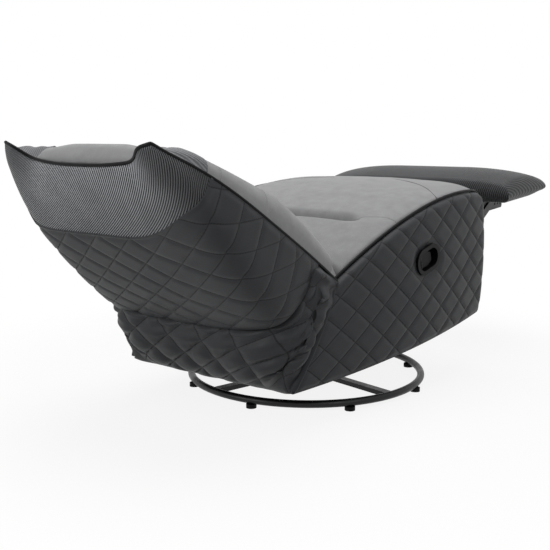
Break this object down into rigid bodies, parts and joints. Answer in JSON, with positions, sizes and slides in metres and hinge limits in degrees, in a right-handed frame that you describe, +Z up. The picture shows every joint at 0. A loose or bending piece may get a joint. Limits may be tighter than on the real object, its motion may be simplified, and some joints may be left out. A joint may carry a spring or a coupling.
{
  "type": "gaming recliner",
  "caption": "Armless gaming recliner with quilted sides, ribbed wing hood, swivel rocker ring base, reclining back, linkage footrest and recessed release handle.",
  "frame": {"origin": "on the floor, on the swivel axis at the centre of the ring base", "axes": "+Z up; the sitter faces -Y; +X is the sitter's left, so the release handle is on the -X side; stored reclined with the footrest out, as pictured"},
  "size_m": [0.6896, 1.6484, 0.646],
  "materials": {
    "black_steel": "satin black paint",
    "bright_steel": "bare steel",
    "bronze": "oiled bearing metal",
    "glide": "moulded",
    "timber": "sawn",
    "quilted_hide": "satin dark grey",
    "ribbed_hide": "ribbed dark and mid grey",
    "soft_grey": "matt light grey nap",
    "piping_hide": "satin black",
    "webbing": "woven",
    "black_plastic": "moulded"
  },
  "bodies": {
    "base": {"base_ring": "black_steel", "base_spokes": "black_steel", "base_hub": "black_steel", "glide_feet": "glide", "swivel_spindle": "bright_steel", "spindle_nut": "bright_steel", "bearing_balls": "bright_steel", "bearing_cage": "black_plastic"},
    "turntable": {"turntable_plate": "black_steel", "swivel_bush": "bronze", "rocker_yoke": "black_steel", "rocker_springs_front": "bright_steel", "rocker_springs_rear": "bright_steel"},
    "seat": {"rocker_axle": "bright_steel", "rocker_saddle": "black_steel", "frame_tubes": "black_steel", "front_rail": "timber", "rear_rail": "timber", "seat_springs": "bright_steel", "plate_pins": "bright_steel", "seat_cushion": "soft_grey", "thigh_cushion": "soft_grey", "seat_piping": "piping_hide", "rear_apron": "quilted_hide", "handle_bezel": "black_plastic", "handle_pin": "bright_steel", "release_cable": "black_plastic", "side_rail_left": "timber", "side_rail_right": "timber", "mechanism_plate_left": "black_steel", "mechanism_plate_right": "black_steel", "side_cover_left": "quilted_hide", "side_cover_right": "quilted_hide"},
    "back": {"back_bracket_left": "black_steel", "back_bracket_right": "black_steel", "back_post_left": "timber", "back_post_right": "timber", "back_top_rail": "timber", "back_lower_rail": "timber", "back_webbing": "webbing", "back_cover": "quilted_hide", "back_hood": "ribbed_hide", "lumbar_cushion": "soft_grey", "shoulder_cushion": "soft_grey", "headrest_cushion": "soft_grey", "back_piping": "piping_hide"},
    "drive": {"drive_tube": "black_steel", "drive_link_left": "black_steel", "drive_link_right": "black_steel"},
    "lift": {"lift_link_left": "black_steel", "lift_link_right": "black_steel"},
    "guide": {"guide_link_left": "black_steel", "guide_link_right": "black_steel"},
    "steer": {"steer_link_left": "black_steel", "steer_link_right": "black_steel"},
    "footrest": {"footrest_bracket_left": "black_steel", "footrest_bracket_right": "black_steel", "footrest_board": "timber", "footrest_pad": "ribbed_hide"},
    "handle": {"handle_lever": "black_plastic"}
  },
  "joints": [
    {"name": "swivel", "type": "hinge", "parent": "base", "child": "turntable", "pos_m": [0, 0, 0], "axis": [0, 0, 1], "continuous": true},
    {"name": "rock", "type": "hinge", "parent": "turntable", "child": "seat", "pos_m": [0, 0, 0.122], "axis": [1, 0, 0], "range_deg": [-4, 9], "stiffness_Nm_per_rad": 1500, "springref_deg": -1.26, "deforming": ["rocker_springs_front", "rocker_springs_rear"]},
    {"name": "recline", "type": "hinge", "parent": "seat", "child": "back", "pos_m": [0, 0.27, 0.348], "axis": [1, 0, 0], "range_deg": [0, 46], "deforming": ["rear_apron"]},
    {"name": "footrest_drive", "type": "hinge", "parent": "seat", "child": "drive", "pos_m": [0, -0.3, 0.372], "axis": [1, 0, 0], "range_deg": [0, 67.4]},
    {"name": "footrest_lift", "type": "hinge", "parent": "drive", "child": "lift", "pos_m": [0, -0.50213, 0.33781], "axis": [1, 0, 0], "range_deg": [-114.9, 0]},
    {"name": "footrest_guide", "type": "hinge", "parent": "seat", "child": "guide", "pos_m": [0, -0.2736, 0.3349], "axis": [1, 0, 0], "range_deg": [0, 69.18]},
    {"name": "footrest_steer", "type": "hinge", "parent": "drive", "child": "steer", "pos_m": [0, -0.45796, 0.34528], "axis": [1, 0, 0], "range_deg": [-116.06, 0]},
    {"name": "footrest_tilt", "type": "hinge", "parent": "lift", "child": "footrest", "pos_m": [0, -0.68002, 0.43969], "axis": [1, 0, 0], "range_deg": [0, 141]},
    {"name": "release_handle", "type": "hinge", "parent": "seat", "child": "handle", "pos_m": [-0.32658, -0.03465, 0.34383], "axis": [-0.0201, -0.2749, -0.9613], "range_deg": [0, 25], "stiffness_Nm_per_rad": 0.4}
  ],
  "couplings": [
    {"joint": "footrest_lift", "follows": "footrest_drive", "ratio": -1.7003},
    {"joint": "footrest_tilt", "follows": "footrest_drive", "ratio": 2.0875},
    {"joint": "footrest_guide", "follows": "footrest_drive", "ratio": 1.022},
    {"joint": "footrest_steer", "follows": "footrest_drive", "ratio": -1.7175}
  ]
}
